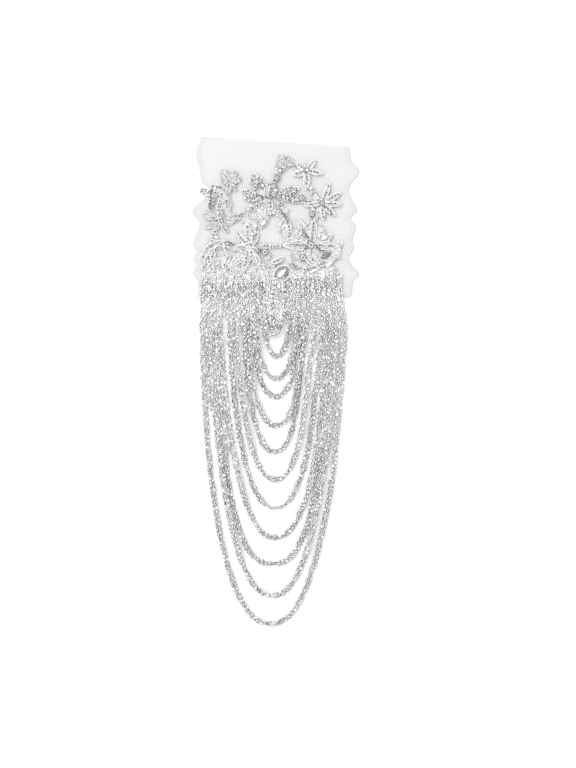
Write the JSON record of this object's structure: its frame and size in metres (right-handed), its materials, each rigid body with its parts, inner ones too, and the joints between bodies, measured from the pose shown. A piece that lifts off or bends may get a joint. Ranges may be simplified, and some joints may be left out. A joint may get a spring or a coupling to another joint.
{
  "type": "crystal shoulder epaulette with chain swags",
  "caption": "Shoulder epaulette of sheer net and beaded corded lace set with crystals, with nested swags of rhinestone cup chain hanging from its lower edge.",
  "frame": {"origin": "middle of the whole piece, on the surface that it lies on", "axes": "+Z out of the front, +Y towards the net's top edge, +X towards its right side seen from the front"},
  "size_m": [0.117, 0.343, 0.0063],
  "materials": {
    "net": "sheer fine net",
    "lace": "white embroidery and cord with sequins and seed beads",
    "beaded_lace": "raised embroidery covered in silver-lined beads and sequins",
    "silver_metal": "polished",
    "crystal": "clear, foiled back",
    "cup_chain": "silver-plated cups with clear crystals"
  },
  "bodies": {
    "root": {"net_ground": "net", "lace_applique": "lace", "flower_left": "beaded_lace", "flower_right": "beaded_lace", "flower_corner": "beaded_lace", "star_top": "beaded_lace", "star_side": "beaded_lace", "rosette_top": "beaded_lace", "rosette_left": "beaded_lace", "bud_spray": "beaded_lace", "inner_leaf": "beaded_lace", "crossing_leaves": "beaded_lace", "scroll_leaves": "beaded_lace", "edge_leaves": "beaded_lace", "lower_leaves": "beaded_lace", "crystal_settings": "silver_metal", "pear_crystal": "crystal", "round_crystal_1": "crystal", "round_crystal_2": "crystal", "round_crystal_3": "crystal", "round_crystal_4": "crystal", "round_crystal_5": "crystal", "round_crystal_6": "crystal", "round_crystal_7": "crystal", "round_crystal_8": "crystal", "round_crystal_9": "crystal", "round_crystal_10": "crystal", "round_crystal_11": "crystal", "round_crystal_12": "crystal", "navette_crystal_1": "crystal", "navette_crystal_2": "crystal", "navette_crystal_3": "crystal", "navette_crystal_4": "crystal", "navette_crystal_5": "crystal", "navette_crystal_6": "crystal", "chain_swag_01": "cup_chain", "chain_swag_02": "cup_chain", "chain_swag_03": "cup_chain", "chain_swag_04": "cup_chain", "chain_swag_05": "cup_chain", "chain_swag_06": "cup_chain", "chain_swag_07": "cup_chain", "chain_swag_08": "cup_chain", "chain_swag_09": "cup_chain", "chain_swag_10": "cup_chain", "chain_swag_11": "cup_chain", "chain_swag_12": "cup_chain", "chain_bundle": "cup_chain"}
  },
  "joints": []
}
